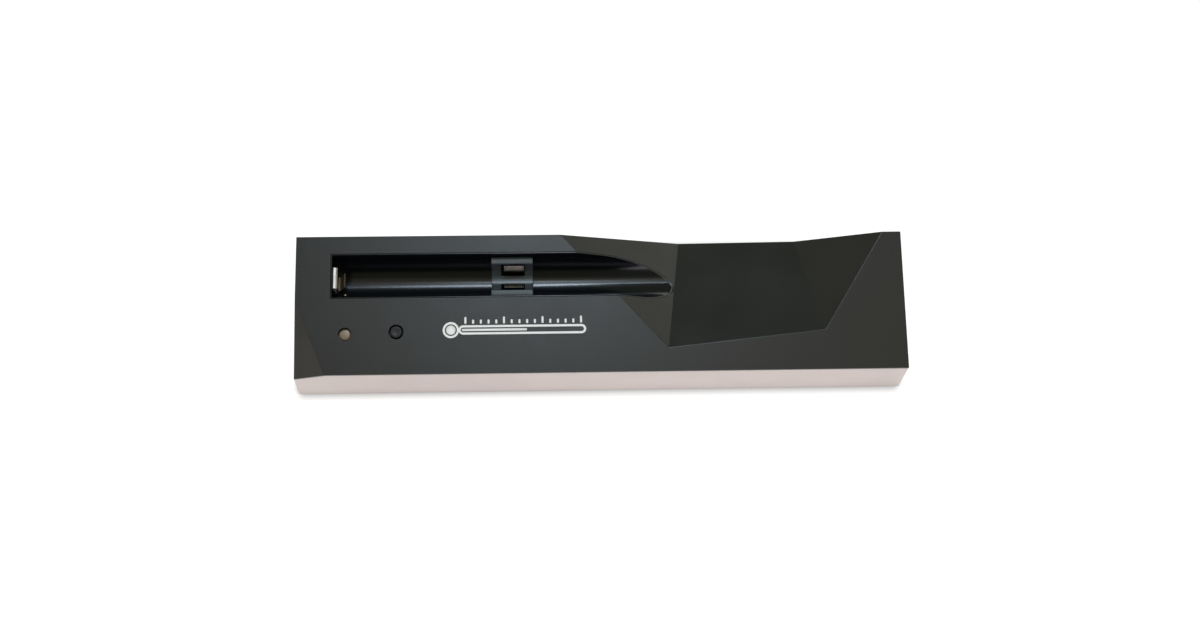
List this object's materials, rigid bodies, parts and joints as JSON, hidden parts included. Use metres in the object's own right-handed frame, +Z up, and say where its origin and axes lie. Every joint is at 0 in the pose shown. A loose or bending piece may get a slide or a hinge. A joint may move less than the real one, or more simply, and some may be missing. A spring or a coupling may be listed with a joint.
{
  "type": "meat thermometer",
  "caption": "Long faceted charging dock of a wireless meat thermometer: soft-touch top with a probe trough, contact saddle, indicator light and button over a pale tub.",
  "frame": {"origin": "centre of the dock's footprint, on the surface that its feet stand on", "axes": "+X along the dock from the indicator end to the scooped end, +Y to the back, +Z up"},
  "size_m": [0.1992, 0.0492, 0.0248],
  "materials": {
    "soft_touch": "satin soft-touch",
    "champagne": "fine satin",
    "gloss_black": "high gloss",
    "smoke_plastic": "gloss",
    "inner_plastic": "moulded matte",
    "nickel": "bright nickel plate",
    "gold_plate": "satin gold plate",
    "steel": "zinc plated",
    "amber_lens": "translucent satin",
    "board_green": "solder mask",
    "rubber": "matte",
    "cell_jacket": "shrink film",
    "red_insulation": "satin",
    "black_insulation": "satin"
  },
  "bodies": {
    "dock": {"top_cover": "soft_touch", "housing_tub": "champagne", "probe_trough": "gloss_black", "contact_saddle": "smoke_plastic", "contact_holder": "inner_plastic", "end_contact_bracket": "nickel", "end_contact_rivet": "nickel", "light_pipe": "amber_lens", "switch_body": "steel", "circuit_board": "board_green", "indicator_led": "amber_lens", "radio_module": "steel", "charge_chip": "inner_plastic", "battery_connector": "champagne", "battery_front": "cell_jacket", "battery_rear": "cell_jacket", "battery_spring_front": "nickel", "battery_spring_rear": "nickel", "battery_plate_negative": "nickel", "battery_plate_positive": "nickel", "battery_link_plate": "nickel", "battery_wire_black": "black_insulation", "battery_wire_red": "red_insulation", "rear_contact_wire": "black_insulation", "front_contact_wire": "black_insulation", "end_contact_wire": "black_insulation", "magnet_1": "steel", "magnet_2": "steel", "magnet_3": "steel", "magnet_4": "steel", "foot_1": "rubber", "foot_2": "rubber", "foot_3": "rubber", "foot_4": "rubber", "housing_screw_1": "steel", "housing_screw_2": "steel", "housing_screw_3": "steel", "housing_screw_4": "steel", "housing_screw_5": "steel", "housing_screw_6": "steel", "trough_screw_1": "steel", "trough_screw_2": "steel", "board_screw_1": "steel", "board_screw_2": "steel", "board_screw_3": "steel"},
    "button": {"button_cap": "inner_plastic"},
    "switch_stem": {"switch_plunger": "inner_plastic"},
    "end_leaf": {"end_contact_leaf": "gold_plate"},
    "rear_finger": {"rear_contact": "gold_plate"},
    "front_finger": {"front_contact": "gold_plate"},
    "battery_door": {"battery_door": "inner_plastic"}
  },
  "joints": [
    {"name": "button_press", "type": "slide", "parent": "dock", "child": "button", "axis": [0, 0, -1], "range_m": [0, 0.0005], "stiffness_N_per_m": 3000, "springref_m": -0.0002},
    {"name": "switch_stem_press", "type": "slide", "parent": "dock", "child": "switch_stem", "axis": [0, 0, -1], "range_m": [0, 0.0006]},
    {"name": "end_leaf_flex", "type": "hinge", "parent": "dock", "child": "end_leaf", "pos_m": [-0.08485, 0.00946, 0.015], "axis": [0, -1, 0], "range_deg": [0, 11], "stiffness_Nm_per_rad": 0.02, "springref_deg": -2.86},
    {"name": "rear_finger_flex", "type": "hinge", "parent": "dock", "child": "rear_finger", "pos_m": [-0.0281, 0.01276, 0.0102], "axis": [-1, 0, 0], "range_deg": [0, 2.2], "stiffness_Nm_per_rad": 0.03, "springref_deg": -1.72},
    {"name": "front_finger_flex", "type": "hinge", "parent": "dock", "child": "front_finger", "pos_m": [-0.0281, 0.00616, 0.0102], "axis": [1, 0, 0], "range_deg": [0, 2.2], "stiffness_Nm_per_rad": 0.03, "springref_deg": -1.72},
    {"name": "battery_door_hinge", "type": "hinge", "parent": "dock", "child": "battery_door", "pos_m": [0.008, -0.009, 0.0017], "axis": [0, -1, 0], "range_deg": [0, 85]}
  ],
  "couplings": [
    {"joint": "switch_stem_press", "follows": "button_press", "ratio": 1}
  ]
}
